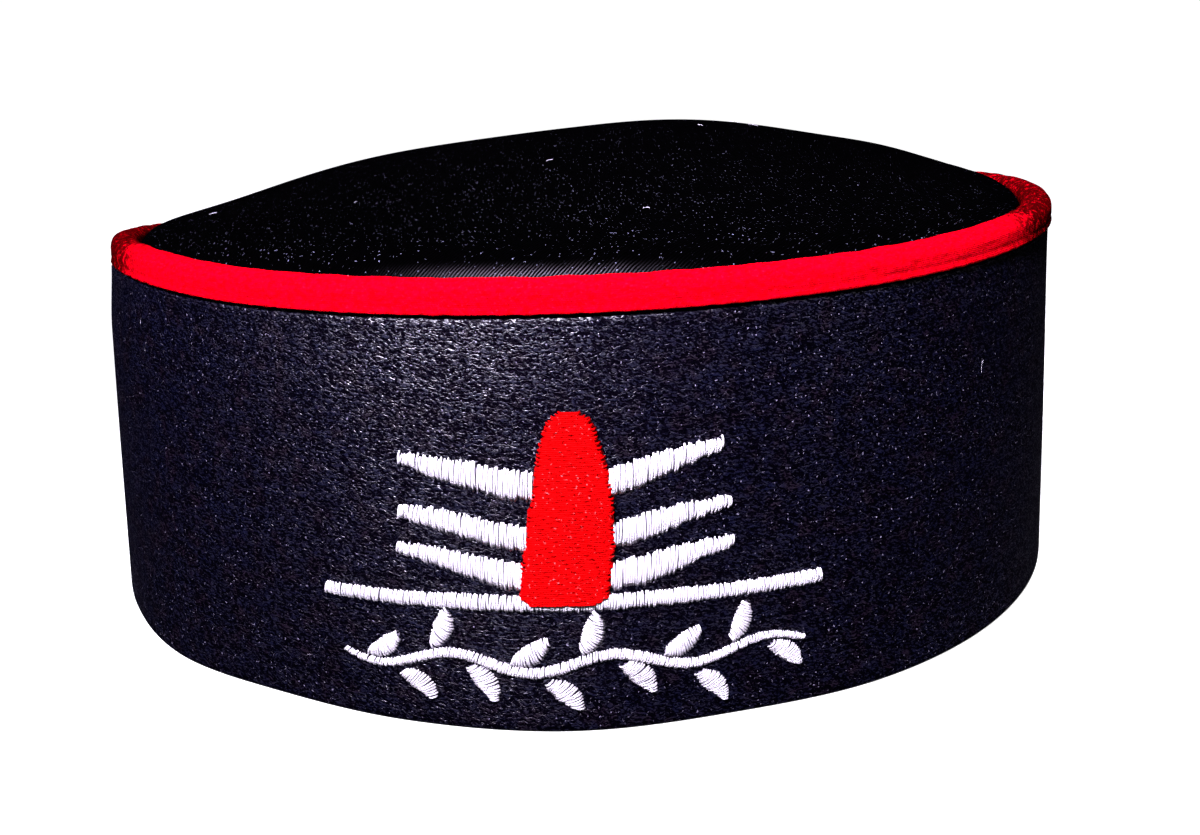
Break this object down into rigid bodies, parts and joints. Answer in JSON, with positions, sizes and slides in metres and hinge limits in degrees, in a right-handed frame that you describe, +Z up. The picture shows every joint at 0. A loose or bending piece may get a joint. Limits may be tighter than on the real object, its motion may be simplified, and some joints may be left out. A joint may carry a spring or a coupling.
{
  "type": "himachali cap",
  "caption": "Tall round brimless cloth cap with a soft black crown, a red bound rim, and red and white embroidery on the front of its band.",
  "frame": {"origin": "centre of the bounding box's bottom, on the plane the hem stands on", "axes": "+Z up through the crown, -Y to the embroidered front, +X to the right seen from the front"},
  "size_m": [0.1878, 0.1959, 0.083],
  "materials": {
    "wall_cloth": "matte padded cloth with fine quilting",
    "crown_cloth": "matte black twill",
    "red_tape": "satin-woven red tape",
    "red_thread": "glossy embroidery thread",
    "white_thread": "glossy embroidery thread"
  },
  "bodies": {
    "root": {"side_band": "wall_cloth", "trim_binding": "red_tape", "crown_top": "crown_cloth", "tilak": "red_thread", "tripund_left_1": "white_thread", "tripund_left_2": "white_thread", "tripund_left_3": "white_thread", "tripund_right_1": "white_thread", "tripund_right_2": "white_thread", "tripund_right_3": "white_thread", "border_rule": "white_thread", "vine_stem": "white_thread", "vine_leaf_1": "white_thread", "vine_leaf_2": "white_thread", "vine_leaf_3": "white_thread", "vine_leaf_4": "white_thread", "vine_leaf_5": "white_thread", "vine_leaf_6": "white_thread", "vine_leaf_7": "white_thread", "vine_leaf_8": "white_thread", "vine_leaf_9": "white_thread", "vine_leaf_10": "white_thread", "vine_leaf_11": "white_thread", "vine_leaf_12": "white_thread"}
  },
  "joints": []
}
